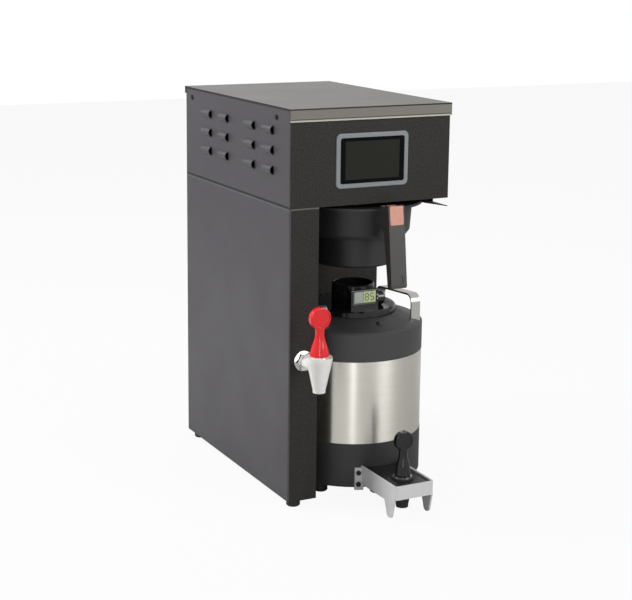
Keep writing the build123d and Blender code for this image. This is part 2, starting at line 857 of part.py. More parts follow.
bar_top = head_z - handle_low
bar_y = server_y - cone_flange_r - handle_reach
bar_foot_y = bar_y - handle_lean
bar_foot_z = bar_top - handle_drop
neck_top = bar_top - neck_drop
neck_z = neck_top - neck_h
handle_section = Plane(origin=(server_x, 0, 0), x_dir=(0, 1, 0), z_dir=(1, 0, 0))
lean = atan2(handle_lean, handle_drop)
face_plane = Plane(origin=(server_x, bar_y, bar_top), x_dir=(1, 0, 0), z_dir=(0, -cos(lean), sin(lean)))

cap_end_y = server_y - cone_flange_r + rail_gap
plug_down = handle_drop - plug_up

with BuildPart() as cone_handle:
    with BuildSketch(handle_section):
        with BuildLine():
            Polyline((bar_y, bar_top), (bar_foot_y, bar_foot_z), (bar_foot_y + handle_t, bar_foot_z),
                     (bar_y + handle_t, neck_z - handle_t), (bar_y + 2 * handle_t, neck_z),
                     (server_y - cone_step_r + handle_t, neck_z),
                     (server_y - cone_step_r + handle_t, cone_rim),
                     (cap_end_y, cone_rim), (cap_end_y, neck_top),
                     (bar_y + handle_t, neck_top), (bar_y + handle_t, bar_top), close=True)
        make_face()
    extrude(amount=handle_w / 2, both=True)
    fillet(cone_handle.edges().filter_by(Axis.X).group_by(Axis.Z)[0], handle_t * 0.45)
    add(turned(outer_cup, server_x, server_y).part, mode=Mode.SUBTRACT)
    add(turned([(0, drum_z), (cone_step_r - cone_wall - 1, drum_z), (cone_step_r, step_z + cone_wall),
                (cone_top_r, flange_z), (cone_flange_r, flange_z), (cone_flange_r, cone_rim), (0, cone_rim)],
               server_x, server_y).part, mode=Mode.SUBTRACT)
    with BuildSketch(face_plane):
        with Locations((0, -insert_h / 2)):
            RectangleRounded(insert_w, insert_h, insert_corner)
    extrude(amount=-(insert_t - insert_proud), mode=Mode.SUBTRACT)
    slab((server_x - insert_w / 2, server_x + insert_w / 2), (bar_y - 1, cap_end_y + 1),
         (neck_top - insert_t, bar_top + 1), mode=Mode.SUBTRACT)
    with BuildSketch(face_plane):
        with Locations((0, -plug_down / cos(lean))):
            Circle(plug_r)
    extrude(amount=-plug_sink, mode=Mode.SUBTRACT)
save(cone_handle, "cone_handle")

with BuildPart() as handle_insert:
    with BuildSketch(face_plane.offset(insert_proud - insert_t)):
        with Locations((0, -insert_h / 2)):
            RectangleRounded(insert_w - 2 * insert_fit, insert_h - 2 * insert_fit, insert_corner - insert_fit)
    extrude(amount=insert_t)
    slab((server_x - insert_w / 2 + insert_fit, server_x + insert_w / 2 - insert_fit),
         (bar_y + insert_fit, cap_end_y), (neck_top - insert_t, neck_top))
save(handle_insert, "cone_handle_insert")

# Pressed basket with a perforated floor that holds the filter paper inside the cone

basket_floor = cone_floor_z + basket_leg
basket_low_r = cone_bottom_r - cone_wall - 2 * basket_gap
basket_high_r = cone_low_r - cone_wall - basket_gap
basket_top_r = cone_top_r - cone_wall - 2 * basket_gap
basket_pad_r = basket_low_r - 4 * basket_gap
basket_mid = step_z - basket_leg
basket_top = flange_z - basket_rim_drop

with BuildPart() as basket:
    add(turned([(0, basket_floor), (basket_low_r, basket_floor), (basket_high_r, basket_mid),
                (basket_top_r, basket_top), (basket_top_r + basket_rim, basket_top),
                (basket_top_r + basket_rim, basket_top + basket_wall),
                (basket_top_r - basket_wall, basket_top + basket_wall), (basket_high_r - basket_wall, basket_mid),
                (basket_low_r - basket_wall, basket_floor + basket_wall), (0, basket_floor + basket_wall)],
               server_x, server_y).part)
    with Locations((server_x, server_y, cone_floor_z)):
        with PolarLocations(basket_pad_r, 4, start_angle=45):
            Cylinder(basket_leg, basket_leg, align=(Align.CENTER, Align.CENTER, Align.MIN))
    with Locations((server_x, server_y, basket_floor - 1)):
        for ring_r, count in ((basket_low_r * 0.3, 6), (basket_low_r * 0.55, 12)):
            with PolarLocations(ring_r, count):
                Cylinder(basket_hole_r, basket_wall + 2, align=(Align.CENTER, Align.CENTER, Align.MIN),
                         mode=Mode.SUBTRACT)
save(basket, "filter_basket")

# Lever faucets


def faucet(name, x, axis_y, wall_y, end_y, shank_z, in_body, body_h, body_r, skirt_r, disc_r, disc_up):
    """Body with its shank, lock nut, bonnet, stem with its seat, and the lever on top."""
    low = shank_z - in_body
    top = low + body_h
    floor_z = low + faucet_floor
    outside = [(0, low), (faucet_spout_r, low), (faucet_spout_r + lever_gap, low + faucet_lip),
               (body_r, top - faucet_lip), (body_r, top), (0, top)]
    inside = [(0, floor_z), (seat_r + seat_side, floor_z), (seat_r + seat_side, floor_z + seat_t),
              (faucet_cup_r, top - bonnet_spigot - faucet_lip), (faucet_cup_r, top + 1), (0, top + 1)]
    with BuildPart() as body:
        add(turned(outside, x, axis_y).part)
        rod((x, axis_y, shank_z), (0, 1, 0), shank_r, end_y - axis_y)
        add(turned(inside, x, axis_y).part, mode=Mode.SUBTRACT)
        rod((x, axis_y, low - 1), (0, 0, 1), faucet_bore_r, faucet_floor + 2, mode=Mode.SUBTRACT)
        rod((x, axis_y, shank_z), (0, 1, 0), shank_bore_r, end_y - axis_y + 1, mode=Mode.SUBTRACT)
    save(body, f"{name}_body")

    with BuildPart() as nut:
        rod((x, wall_y - washer_t, shank_z), (0, 1, 0), washer_r, washer_t)
        with BuildSketch(Plane(origin=(x, wall_y - washer_t, shank_z), x_dir=(1, 0, 0), z_dir=(0, -1, 0))):
            RegularPolygon(nut_flats / 2, 6, major_radius=False)
        extrude(amount=nut_t)
        rod((x, wall_y + 1, shank_z), (0, -1, 0), shank_r + hinge_fit, washer_t + nut_t + 2, mode=Mode.SUBTRACT)
    save(nut, f"{name}_nut")

    with BuildPart() as bonnet:
        rod((x, axis_y, top - bonnet_spigot), (0, 0, 1), faucet_cup_r - hinge_fit, bonnet_spigot)
        rod((x, axis_y, top), (0, 0, 1), bonnet_r, bonnet_t)
        rod((x, axis_y, top - bonnet_spigot - 1), (0, 0, 1), stem_r + stem_fit, bonnet_spigot + bonnet_t + 2,
            mode=Mode.SUBTRACT)
    save(bonnet, f"{name}_bonnet")

    with BuildPart() as stem:
        rod((x, axis_y, floor_z + seat_gap), (0, 0, 1), seat_r, seat_t)
        rod((x, axis_y, floor_z + seat_gap), (0, 0, 1), stem_r, top + bonnet_t + stem_up - floor_z - seat_gap)
    save(stem, f"{name}_stem")

    skirt_z = top + bonnet_t + lever_gap
    disc_z = top + disc_up
    neck_end = disc_z - disc_r + lever_rim_w
    waist_z = neck_end - 2 * lever_flat_w
    with BuildPart() as disc:
        rod((x, axis_y - lever_disc_t / 2, disc_z), (0, 1, 0), disc_r, lever_disc_t)
        fillet(disc.edges().filter_by(GeomType.CIRCLE), lever_disc_edge)
        for face_y, inward in ((axis_y - lever_disc_t / 2, 1), (axis_y + lever_disc_t / 2, -1)):
            rod((x, face_y, disc_z), (0, inward, 0), disc_r - lever_rim_w, lever_recess, mode=Mode.SUBTRACT)

    with BuildPart() as lever:
        with BuildSketch(Plane(origin=(x, axis_y, 0), x_dir=(1, 0, 0), z_dir=(0, -1, 0))):
            with BuildLine():
                Line((0, skirt_z), (skirt_r, skirt_z))
                Line((skirt_r, skirt_z), (skirt_r, skirt_z + lever_rim_w / 2))
                Spline((skirt_r, skirt_z + lever_rim_w / 2), (lever_flare_r, skirt_z + lever_flare_h),
                       (lever_neck_r, waist_z), (lever_neck_r + 1, neck_end), tangents=[(-0.15, 1), (0.2, 1)])
                Line((lever_neck_r + 1, neck_end), (0, neck_end))
                Line((0, neck_end), (0, skirt_z))
            make_face()
        revolve(axis=Axis((x, axis_y, 0), (0, 0, 1)))
        for side in (-1, 1):
            flat = sorted((axis_y + side * lever_flat_w * 1.2, axis_y + side * (skirt_r + 1)))
            slab((x - skirt_r, x + skirt_r), flat, (waist_z - lever_flat_w, disc_z), mode=Mode.SUBTRACT)
        add(disc.part)
        rod((x, axis_y, skirt_z - 1), (0, 0, 1), lever_cavity_r, lever_cavity_h + 1, mode=Mode.SUBTRACT)
    save(lever, f"{name}_lever")


hot_x = left + hot_from_left
hot_end_y = front + sheet + hot_shank_tail
faucet("hot_faucet", hot_x, front - hot_reach, front, hot_end_y, hot_shank_up, hot_shank_in_body,
       hot_body_h, hot_body_r, hot_skirt_r, hot_disc_r, hot_disc_up)

liner_r = server_r - liner_gap
server_faucet_y = server_y - server_r - server_faucet_reach
faucet("server_faucet", guard_x, server_faucet_y, server_y - server_r, server_y - liner_r - tray_fit,
       server_shank_up, server_shank_in_body, server_body_h, server_body_r, server_skirt_r, server_disc_r,
       server_disc_up)

# Pipe from the tank through the head and down the column to the hot water faucet

hot_pipe_z = tank_top - hot_pipe_drop
hot_pipe_x = tank_x[0] + hot_pipe_in

with BuildPart() as hot_pipe:
    with BuildLine() as hot_line:
        FilletPolyline(
            (hot_pipe_x, tank_y[0], hot_pipe_z),
            (hot_pipe_x, hot_tube_y, hot_pipe_z),
            (hot_x, hot_tube_y, hot_pipe_z),
            (hot_x, hot_tube_y, hot_shank_up),
            (hot_x, hot_end_y, hot_shank_up),
            radius=tube_bend,
        )
    with BuildSketch(Plane(origin=hot_line.line @ 0, z_dir=hot_line.line % 0)):
        Circle(tube_r)
        Circle(tube_r - tube_wall, mode=Mode.SUBTRACT)
    sweep()
save(hot_pipe, "hot_water_pipe")

# Server: base, feet, shell, liner and collar

screw_out = guard_half + 1.2 * guard_screw_head_r
screw_angles = [asin((guard_shift + side * screw_out) / (server_r + guard_t)) for side in (-1, 1)]
screw_heights = (guard_flange_bottom + guard_screw_low, guard_flange_top - guard_screw_high)
screw_dirs = [(sin(angle), -cos(angle), 0) for angle in screw_angles]

with BuildPart() as server_base:
    add(turned([(0, base_z), (server_r - 2, base_z), (server_r, base_z + 2), (server_r, shell_z),
                (liner_r + 1, shell_z), (liner_r + 1, shell_z - server_wall),
                (server_r - server_wall, shell_z - server_wall - 3), (server_r - server_wall, base_z + server_wall),
                (0, base_z + server_wall)], server_x, server_y).part)
    rod((guard_x, server_y - server_r - 2, server_shank_up), (0, 1, 0), shank_r + screw_fit, server_wall + 4,
        mode=Mode.SUBTRACT)
    for direction in screw_dirs:
        for height in screw_heights:
            start = (server_x + direction[0] * (server_r + 1), server_y + direction[1] * (server_r + 1), height)
            rod(start, (-direction[0], -direction[1], 0), guard_screw_r, server_wall + 2, mode=Mode.SUBTRACT)
save(server_base, "server_base")

with BuildPart() as server_feet:
    with BuildSketch():
        with Locations((server_x, server_y)):
            with PolarLocations(server_r - server_feet_in, server_feet_count, start_angle=-90):
                Circle(server_foot_r)
    extrude(amount=server_foot_h)
    chamfer(server_feet.faces().filter_by(Axis.Z).group_by(Axis.Z)[0].edges(), foot_edge)
save(server_feet, "server_feet")

shell_r = server_r - shell_set_in

with BuildPart() as server_shell:
    with BuildSketch(Plane.XY.offset(shell_z)):
        with Locations((server_x, server_y)):
            Circle(shell_r)
            Circle(shell_r - shell_t, mode=Mode.SUBTRACT)
    extrude(amount=shell_h)
save(server_shell, "server_shell")

liner_low = base_z + server_wall
neck_r = mouth_r + liner_t

with BuildPart() as server_liner:
    add(turned([(0, liner_low), (liner_r - 12, liner_low), (liner_r, liner_low + 12), (liner_r, ledge_z - 16),
                (neck_r, shoulder_z - 2), (neck_r, mouth_z), (mouth_r, mouth_z), (mouth_r, shoulder_z - 2.6),
                (liner_r - liner_t, ledge_z - 16.6), (liner_r - liner_t, liner_low + 12.4),
                (liner_r - 12.4, liner_low + liner_t), (0, liner_low + liner_t)], server_x, server_y).part)
    rod((guard_x, server_y - liner_r - 1, server_shank_up), (0, 1, 0), shank_bore_r, 4, mode=Mode.SUBTRACT)
save(server_liner, "server_liner")

hinge_y = server_y + lid_r + hinge_out
hinge_z = lid_z + hinge_up
strap_out = server_r - strap_in
strap_legs = (strap_rear_in - server_r, server_r - strap_front_in)
latch_at = (ledge_r + shoulder_r) / 2
slope = sqrt((ledge_r - shoulder_r) ** 2 + shoulder_rise ** 2)
latch_dir = (0, -shoulder_rise / slope, (ledge_r - shoulder_r) / slope)
latch_point = (server_x, server_y - latch_at, (shoulder_z + mouth_z) / 2)
strap_low = ledge_z - strap_sink

with BuildPart() as collar:
    add(turned([(server_r, collar_z), (server_r, ledge_z - 3), (server_r - 3, ledge_z), (ledge_r, shoulder_z),
                (shoulder_r, mouth_z), (neck_r + 0.3, mouth_z), (neck_r + 0.3, mouth_z - server_wall),
                (shoulder_r - 2, mouth_z - server_wall - 1), (ledge_r - 2, shoulder_z - server_wall - 1),
                (server_r - 5, ledge_z - server_wall - 1), (server_r - server_wall, ledge_z - server_wall - 3),
                (server_r - server_wall, collar_z + server_wall), (liner_r + 1, collar_z + server_wall - 1),
                (liner_r + 1, collar_z)], server_x, server_y).part)
    for side in (-1, 1):
        ear = sorted((server_x + side * (knuckle_l / 2 + ear_gap),
                      server_x + side * (knuckle_l / 2 + ear_gap + ear_w)))
        slab(ear, (hinge_y - knuckle_r, hinge_y + knuckle_r), (shoulder_z + 1, hinge_z))
        rod((ear[0], hinge_y, hinge_z), (1, 0, 0), knuckle_r, ear[1] - ear[0])
        for leg in strap_legs:
            leg_y = server_y - side * leg
            inward = copysign(strap_t + strap_fit, side * leg)
            slab((server_x + side * strap_out - strap_w / 2 - strap_fit,
                  server_x + side * strap_out + strap_w / 2 + strap_fit),
                 sorted((leg_y - copysign(strap_fit, side * leg), leg_y + inward)),
                 (strap_low - strap_slot, mouth_z + 1), mode=Mode.SUBTRACT)
    rod((server_x - knuckle_l, hinge_y, hinge_z), (1, 0, 0), hinge_pin_r, 2 * knuckle_l, mode=Mode.SUBTRACT)
    start = [p + 3 * d for p, d in zip(latch_point, latch_dir)]
    rod(tuple(start), tuple(-d for d in latch_dir), latch_r + latch_fit, 10, mode=Mode.SUBTRACT)
save(collar, "server_collar")

with BuildPart() as latch_button:
    start = [p + latch_proud * d for p, d in zip(latch_point, latch_dir)]
    rod(tuple(start), tuple(-d for d in latch_dir), latch_r, latch_l)
    fillet(latch_button.edges().group_by(Axis.Z)[-1], 1)
    rim = [p - (server_wall + 2.6) * d for p, d in zip(latch_point, latch_dir)]
    rod(tuple(rim), tuple(-d for d in latch_dir), latch_r + 2, 1.5)
save(latch_button, "latch_button")

with BuildPart() as hinge_pin:
    pin_l = knuckle_l + 2 * (ear_gap + ear_w)
    rod((server_x - pin_l / 2, hinge_y, hinge_z), (1, 0, 0), hinge_pin_r - hinge_fit / 2, pin_l)
save(hinge_pin, "lid_hinge_pin")

# Server: strap handles, set forward at the right and back at the left, each falling to its short end

rear_leg = -strap_legs[0] - strap_t / 2
front_leg = strap_legs[1] - strap_t / 2
strap_high = strap_top - strap_t / 2

with BuildPart() as strap_handles:
    for side in (-1, 1):
        strap_plane = Plane(origin=(server_x + side * (strap_out - strap_w / 2), server_y, 0),
                            x_dir=(0, side, 0), z_dir=(side, 0, 0))
        with BuildSketch(strap_plane):
            with BuildLine():
                FilletPolyline((-front_leg, strap_low), (-front_leg, strap_high),
                               (rear_leg, strap_high - strap_fall), (rear_leg, strap_low), radius=strap_bend)
            trace(line_width=strap_t)
        extrude(amount=strap_w)
save(strap_handles, "strap_handles")

# Guard round the server's faucet, its screws and its tray

guard_front = server_y - server_r - guard_reach
guard_low = guard_top - guard_front_h
side_low = guard_top - guard_side_h
guard_len = guard_reach + 2 * guard_flange_w

with BuildPart() as guard:
    with BuildSketch(Plane.XY.offset(guard_low)):
        with Locations((guard_x, guard_front + guard_len / 2)):
            outer = Rectangle(2 * guard_half, guard_len)
        fillet(outer.vertices().group_by(Axis.Y)[0], guard_corner)
        with BuildSketch(Plane.XY.offset(guard_low), mode=Mode.SUBTRACT):
            with Locations((guard_x, guard_front + guard_t + guard_len / 2)):
                inner = Rectangle(2 * (guard_half - guard_t), guard_len)
            fillet(inner.vertices().group_by(Axis.Y)[0], guard_corner - guard_t)
    extrude(amount=guard_front_h)
    for side in (-1, 1):
        plate = sorted((guard_x + side * guard_half, guard_x + side * (guard_half - guard_t)))
        half = guard_leg_w / 2
        leg_y = guard_front + guard_t + half
        slab(plate, (leg_y + half, guard_front + guard_len), (side_low, guard_low))
        with BuildSketch(Plane(origin=(plate[0], leg_y, 0), x_dir=(0, 1, 0), z_dir=(1, 0, 0))):
            with BuildLine():
                Polyline((-guard_tip_r, guard_tip_r), (-half, guard_low), (1.8 * half, guard_low),
                         (half, guard_low - guard_tip_r), (guard_tip_r, guard_tip_r))
                ThreePointArc((guard_tip_r, guard_tip_r), (0, 0), (-guard_tip_r, guard_tip_r))
            make_face()
        extrude(amount=guard_t)
    with BuildSketch(Plane.XY.offset(guard_flange_bottom)):
        with Locations((server_x, server_y)):
            Circle(server_r + guard_t)
        with Locations((guard_x, server_y - server_r)):
            Rectangle(2 * (guard_half - guard_t + guard_flange_w), guard_half, mode=Mode.INTERSECT)
            Rectangle(2 * (guard_half - guard_t), 2 * guard_half, mode=Mode.SUBTRACT)
    extrude(amount=guard_flange_top - guard_flange_bottom)
    guard_high = max(guard_top, guard_flange_top)
    rod((server_x, server_y, 0), (0, 0, 1), server_r + hinge_fit, guard_high + 1, mode=Mode.SUBTRACT)
    for direction in screw_dirs:
        for height in screw_heights:
            start = (server_x + direction[0] * (server_r + 6), server_y + direction[1] * (server_r + 6), height)
            rod(start, (-direction[0], -direction[1], 0), guard_screw_r + 0.1, 10, mode=Mode.SUBTRACT)
save(guard, "faucet_guard")

with BuildPart() as guard_screws:
    for direction in screw_dirs:
        for height in screw_heights:
            reach = server_r + guard_t + 2 * hinge_fit
            start = (server_x + direction[0] * reach, server_y + direction[1] * reach, height)
            rod(start, direction, guard_screw_head_r, guard_screw_head_t)
            rod(start, (-direction[0], -direction[1], 0), guard_screw_r, guard_t + server_wall)
save(guard_screws, "guard_screws")

tray_top = guard_top - tray_sink

with BuildPart() as tray:
    with BuildSketch(Plane.XY.offset(tray_top - tray_t)):
        with Locations((guard_x, guard_front + guard_t + tray_fit + guard_len / 2)):
            plate = Rectangle(2 * (guard_half - guard_t - tray_fit), guard_len)
        fillet(plate.vertices().group_by(Axis.Y)[0], guard_corner - guard_t - tray_fit)
        with Locations((server_x, server_y)):
            Circle(server_r + tray_fit, mode=Mode.SUBTRACT)
        with Locations((guard_x, server_faucet_y)):
            Circle(server_body_r + tray_hole_fit, mode=Mode.SUBTRACT)
    extrude(amount=tray_t)
save(tray, "guard_tray")

# Server's lid with its brew-through funnel

plug_out = mouth_r - plug_play

with BuildPart() as server_lid:
    add(turned([(funnel_hole_r, lid_z - lid_tube_l), (funnel_hole_r + 3, lid_z - lid_tube_l),
                (funnel_hole_r + 3, lid_z - 4), (plug_out, lid_z - 4), (plug_out, lid_z), (lid_r, lid_z),
                (lid_r, lid_top - 2.5), (lid_r - 2.5, lid_top), (funnel_r, lid_top), (funnel_r, funnel_top - 1.5),
                (funnel_r - 1.5, funnel_top), (funnel_r - funnel_wall + 0.5, funnel_top),
                (funnel_r - funnel_wall, funnel_top - 1), (funnel_r - funnel_wall, lid_top + funnel_h * 0.6),
                (funnel_hole_r + 3, lid_top + 2), (funnel_hole_r, lid_top)], server_x, server_y).part)
    slab((server_x - knuckle_l / 2, server_x + knuckle_l / 2), (server_y + lid_r - 8, hinge_y), (lid_z, hinge_z + 3))
    rod((server_x - knuckle_l / 2, hinge_y, hinge_z), (1, 0, 0), knuckle_r, knuckle_l)
    rod((server_x - knuckle_l, hinge_y, hinge_z), (1, 0, 0), hinge_pin_r + hinge_fit, 2 * knuckle_l,
        mode=Mode.SUBTRACT)
save(server_lid, "server_lid")

with BuildPart() as gasket:
    with BuildSketch(Plane.XY.offset(mouth_z + 0.1)):
        with Locations((server_x, server_y)):
            Circle(neck_r + 5)
            Circle(plug_out + 0.05, mode=Mode.SUBTRACT)
    extrude(amount=lid_gap - 0.1)
save(gasket, "lid_gasket")

display_y = server_y - display_front
screen_x = server_x - display_shift
display_x = (screen_x - display_w / 2, screen_x + display_w / 2)
display_top = lid_top + display_h
screen_top = display_top - display_screen_drop
screen_low = screen_top - display_screen_h
screen_back = display_y + display_screen_sink + display_screen_t

with BuildPart() as display:
    slab(display_x, (display_y, server_y - funnel_r + 8), (lid_top, display_top))
    fillet(display.edges().filter_by(Axis.X).group_by(Axis.Z)[-1].group_by(Axis.Y)[0], 2)
    rod((display_x[1], display_y + display_cap_r, lid_top + display_cap_r), (1, 0, 0), display_cap_r, display_cap_l)
    fillet(display.edges().group_by(Axis.X)[-1], 2)
    rod((server_x, server_y, lid_top - 1), (0, 0, 1), funnel_r + hinge_fit, display_h + 2, mode=Mode.SUBTRACT)
    slab((screen_x - display_screen_w / 2 - display_fit, screen_x + display_screen_w / 2 + display_fit),
         (display_y - 1, screen_back), (screen_low - display_fit, screen_top + display_fit), mode=Mode.SUBTRACT)
save(display, "display_housing")

with BuildPart() as display_screen:
    slab((screen_x - display_screen_w / 2, screen_x + display_screen_w / 2),
         (display_y + display_screen_sink, screen_back), (screen_low, screen_top))
save(display_screen, "display_screen")
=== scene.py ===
from math import pi

import bpy
from mathutils import Matrix, Vector


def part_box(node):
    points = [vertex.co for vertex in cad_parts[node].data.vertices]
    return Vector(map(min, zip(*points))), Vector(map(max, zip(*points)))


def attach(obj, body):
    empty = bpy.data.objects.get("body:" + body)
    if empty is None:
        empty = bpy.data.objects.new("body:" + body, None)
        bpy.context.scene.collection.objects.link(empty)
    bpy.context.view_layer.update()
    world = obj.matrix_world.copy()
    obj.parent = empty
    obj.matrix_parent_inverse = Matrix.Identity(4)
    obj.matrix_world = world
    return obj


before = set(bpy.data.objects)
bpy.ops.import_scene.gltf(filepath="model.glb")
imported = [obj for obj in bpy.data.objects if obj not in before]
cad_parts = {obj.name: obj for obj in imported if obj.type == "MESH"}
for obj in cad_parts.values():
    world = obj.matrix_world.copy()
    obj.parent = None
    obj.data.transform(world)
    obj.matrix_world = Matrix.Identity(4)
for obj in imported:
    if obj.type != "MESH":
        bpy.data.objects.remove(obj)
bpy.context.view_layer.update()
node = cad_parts

# The camera: a long lens a little above the brewer and to the left of its front.
# The lens is shifted down slightly, so that the upright edges keep their lean.
heading, tilt, roll = 0.47739, 0.19977, 0.01105
view = bpy.data.cameras.new("view")
view.sensor_width = 36
view.lens = 84.04
view.shift_y = -0.0791
view.clip_end = 50
camera = bpy.data.objects.new("camera", view)
bpy.context.collection.objects.link(camera)
level_view = Matrix.Rotation(-heading, 3, "Z") @ Matrix.Rotation(pi / 2 - tilt, 3, "X")
turn = level_view @ Matrix.Rotation(roll, 3, "Z")
camera.rotation_euler = turn.to_euler()
camera.location = (-1.11442, -2.12899, 0.86307)
bpy.context.scene.camera = camera
bpy.context.scene.view_settings.view_transform = "Standard"

# The studio's floor: white board that keeps a soft shadow under the brewer.
# It glows white to the camera, and lights the brewer from below as plain matte board does.
floor_size = 12
floor_grey = 0.6
floor_glow = 0.93
bpy.ops.object.select_all(action="DESELECT")
bpy.ops.mesh.primitive_plane_add(size=floor_size, location=(0, 0, 0))
floor = bpy.context.object
floor.name = "floor"
floor_paint = bpy.data.materials.new("floor_paint")
floor_paint.use_nodes = True
tree = floor_paint.node_tree
tree.nodes.clear()
out = tree.nodes.new("ShaderNodeOutputMaterial")
blend = tree.nodes.new("ShaderNodeMixShader")
matte = tree.nodes.new("ShaderNodeBsdfDiffuse")
matte.inputs["Color"].default_value = (floor_grey, floor_grey, floor_grey, 1)
glow = tree.nodes.new("ShaderNodeEmission")
glow.inputs["Color"].default_value = (1, 1, 1, 1)
path = tree.nodes.new("ShaderNodeLightPath")
share = tree.nodes.new("ShaderNodeMath")
share.operation = "MULTIPLY"
share.inputs[1].default_value = floor_glow
tree.links.new(path.outputs["Is Camera Ray"], share.inputs[0])
tree.links.new(share.outputs[0], blend.inputs[0])
tree.links.new(matte.outputs[0], blend.inputs[1])
tree.links.new(glow.outputs[0], blend.inputs[2])
tree.links.new(blend.outputs[0], out.inputs[0])
floor.data.materials.append(floor_paint)

# The studio's walls: a white room round the floor.
# It is white to the camera, mostly white in reflections, and lights the brewer at a lower level.
room_light = 0.34
room_mirrored = 0.65
room = bpy.data.worlds.new("room")
bpy.context.scene.world = room
room.use_nodes = True
tree = room.node_tree
tree.nodes.clear()
out = tree.nodes.new("ShaderNodeOutputWorld")
dim = tree.nodes.new("ShaderNodeBackground")
dim.inputs["Strength"].default_value = room_light
bright = tree.nodes.new("ShaderNodeBackground")
bright.inputs["Color"].default_value = (1, 1, 1, 1)
bright.inputs["Strength"].default_value = 1.0
blend = tree.nodes.new("ShaderNodeMixShader")
path = tree.nodes.new("ShaderNodeLightPath")
white_share = tree.nodes.new("ShaderNodeMath")
white_share.operation = "MULTIPLY_ADD"
white_share.inputs[1].default_value = room_mirrored
white_share.use_clamp = True
tree.links.new(path.outputs["Is Glossy Ray"], white_share.inputs[0])
tree.links.new(path.outputs["Is Camera Ray"], white_share.inputs[2])
tree.links.new(white_share.outputs[0], blend.inputs[0])
tree.links.new(dim.outputs[0], blend.inputs[1])
tree.links.new(bright.outputs[0], blend.inputs[2])
tree.links.new(blend.outputs[0], out.inputs[0])

# The studio's lamps: four large softboxes, aimed at the head, the server or down from above.
# The narrow one in front draws the bright streak on the server's steel.
head_left = (-0.1, 0.05, 0.6)
server_middle = (0.02, -0.06, 0.2)
above_middle = (0, 0, 0.5)


def softbox(name, place, aim, width, height, power):
    """A large soft lamp that faces a point on the brewer."""
    lamp = bpy.data.lights.new(name, "AREA")
    lamp.shape = "RECTANGLE"
    lamp.size = width
    lamp.size_y = height
    lamp.energy = power
    box = bpy.data.objects.new(name, lamp)
    bpy.context.collection.objects.link(box)
    box.location = place
    box.rotation_euler = (Vector(aim) - Vector(place)).to_track_quat("-Z", "Y").to_euler()


softbox("softbox_left", place=(-2.0, 1.0, 1.9), aim=head_left, width=1.2, height=1.3, power=68)
softbox("softbox_front", place=(-1.25, -2.7, 0.8), aim=server_middle, width=0.3, height=1.5, power=9)
softbox("softbox_right", place=(1.2, -2.15, 1.5), aim=server_middle, width=1.0, height=1.1, power=31)
softbox("softbox_top", place=(0, 0.6, 2.4), aim=above_middle, width=1.8, height=1.8, power=17)

# Base pan, the floor of the head and the rails under it: folded sheet steel, screwed into the casing.
# They are powder coated black, with a fine orange peel that is slightly uneven in gloss.


def noise(tree, place, scale, detail):
    """A cloud of values from 0 to 1 over the places of a surface."""
    cloud = tree.nodes.new("ShaderNodeTexNoise")
    cloud.inputs["Scale"].default_value = scale
    cloud.inputs["Detail"].default_value = detail
    tree.links.new(place, cloud.inputs["Vector"])
    return cloud.outputs["Fac"]


def spread(tree, value, least, most, start=0.0, end=1.0):
    """Spreads a value that runs from start to end over the range from least to most."""
    span = tree.nodes.new("ShaderNodeMapRange")
    span.inputs["From Min"].default_value = start
    span.inputs["From Max"].default_value = end
    span.inputs["To Min"].default_value = least
    span.inputs["To Max"].default_value = most
    tree.links.new(value, span.inputs["Value"])
    return span.outputs[0]


def tint(tree, shader, colour, tone):
    """Gives the shader this colour, lighter and darker by the tone."""
    shade = tree.nodes.new("ShaderNodeVectorMath")
    shade.operation = "SCALE"
    shade.inputs[0].default_value = colour
    tree.links.new(tone, shade.inputs["Scale"])
    tree.links.new(shade.outputs[0], shader.inputs["Base Color"])


def roughen(tree, shader, height, strength, distance):
    """Gives the shader's surface a fine relief that follows this height."""
    relief = tree.nodes.new("ShaderNodeBump")
    relief.inputs["Strength"].default_value = strength
    relief.inputs["Distance"].default_value = distance
    tree.links.new(height, relief.inputs["Height"])
    tree.links.new(relief.outputs[0], shader.inputs["Normal"])


def grained(name, colour, rough, grain, bump, uneven=0.25, shine=0.5):
    """Paint or moulded plastic: one colour with a fine grain in its tone and height, and a cloudy gloss."""
    noise_start, noise_end = 0.3, 0.7
    grain_detail, cloud_scale, cloud_detail = 3, 9, 2
    gloss_swing = 0.06
    grain_height = 0.0004
    finish = bpy.data.materials.new(name)
    finish.use_nodes = True
    tree = finish.node_tree
    shader = tree.nodes["Principled BSDF"]
    shader.inputs["Specular IOR Level"].default_value = shine
    place = tree.nodes.new("ShaderNodeTexCoord").outputs["Object"]
    fine = noise(tree, place, grain, grain_detail)
    cloudy = noise(tree, place, cloud_scale, cloud_detail)
    tint(tree, shader, colour, spread(tree, fine, 1 - uneven, 1 + uneven, noise_start, noise_end))
    gloss = spread(tree, cloudy, rough - gloss_swing, rough + gloss_swing, noise_start, noise_end)
    tree.links.new(gloss, shader.inputs["Roughness"])
    roughen(tree, shader, fine, bump, grain_height)
    return finish


def coat(finish, *names):
    """Gives these CAD nodes one finish."""
    for name in names:
        mesh = node[name].data
        mesh.materials.clear()
        mesh.materials.append(finish)


pan_paint = grained("pan_paint", colour=(0.02, 0.02, 0.021), rough=0.6, grain=1200, bump=0.4)
coat(pan_paint, "base_pan", "head_floor", "cone_rails")

# Feet of the brewer and of the server: moulded black rubber, screwed on from below.
# They are dull all over, and slightly mottled.
foot_rubber = grained("foot_rubber", colour=(0.015, 0.015, 0.016), rough=0.7, grain=800, bump=0.4,
                      uneven=0.2)
coat(foot_rubber, "brewer_feet", "server_feet")

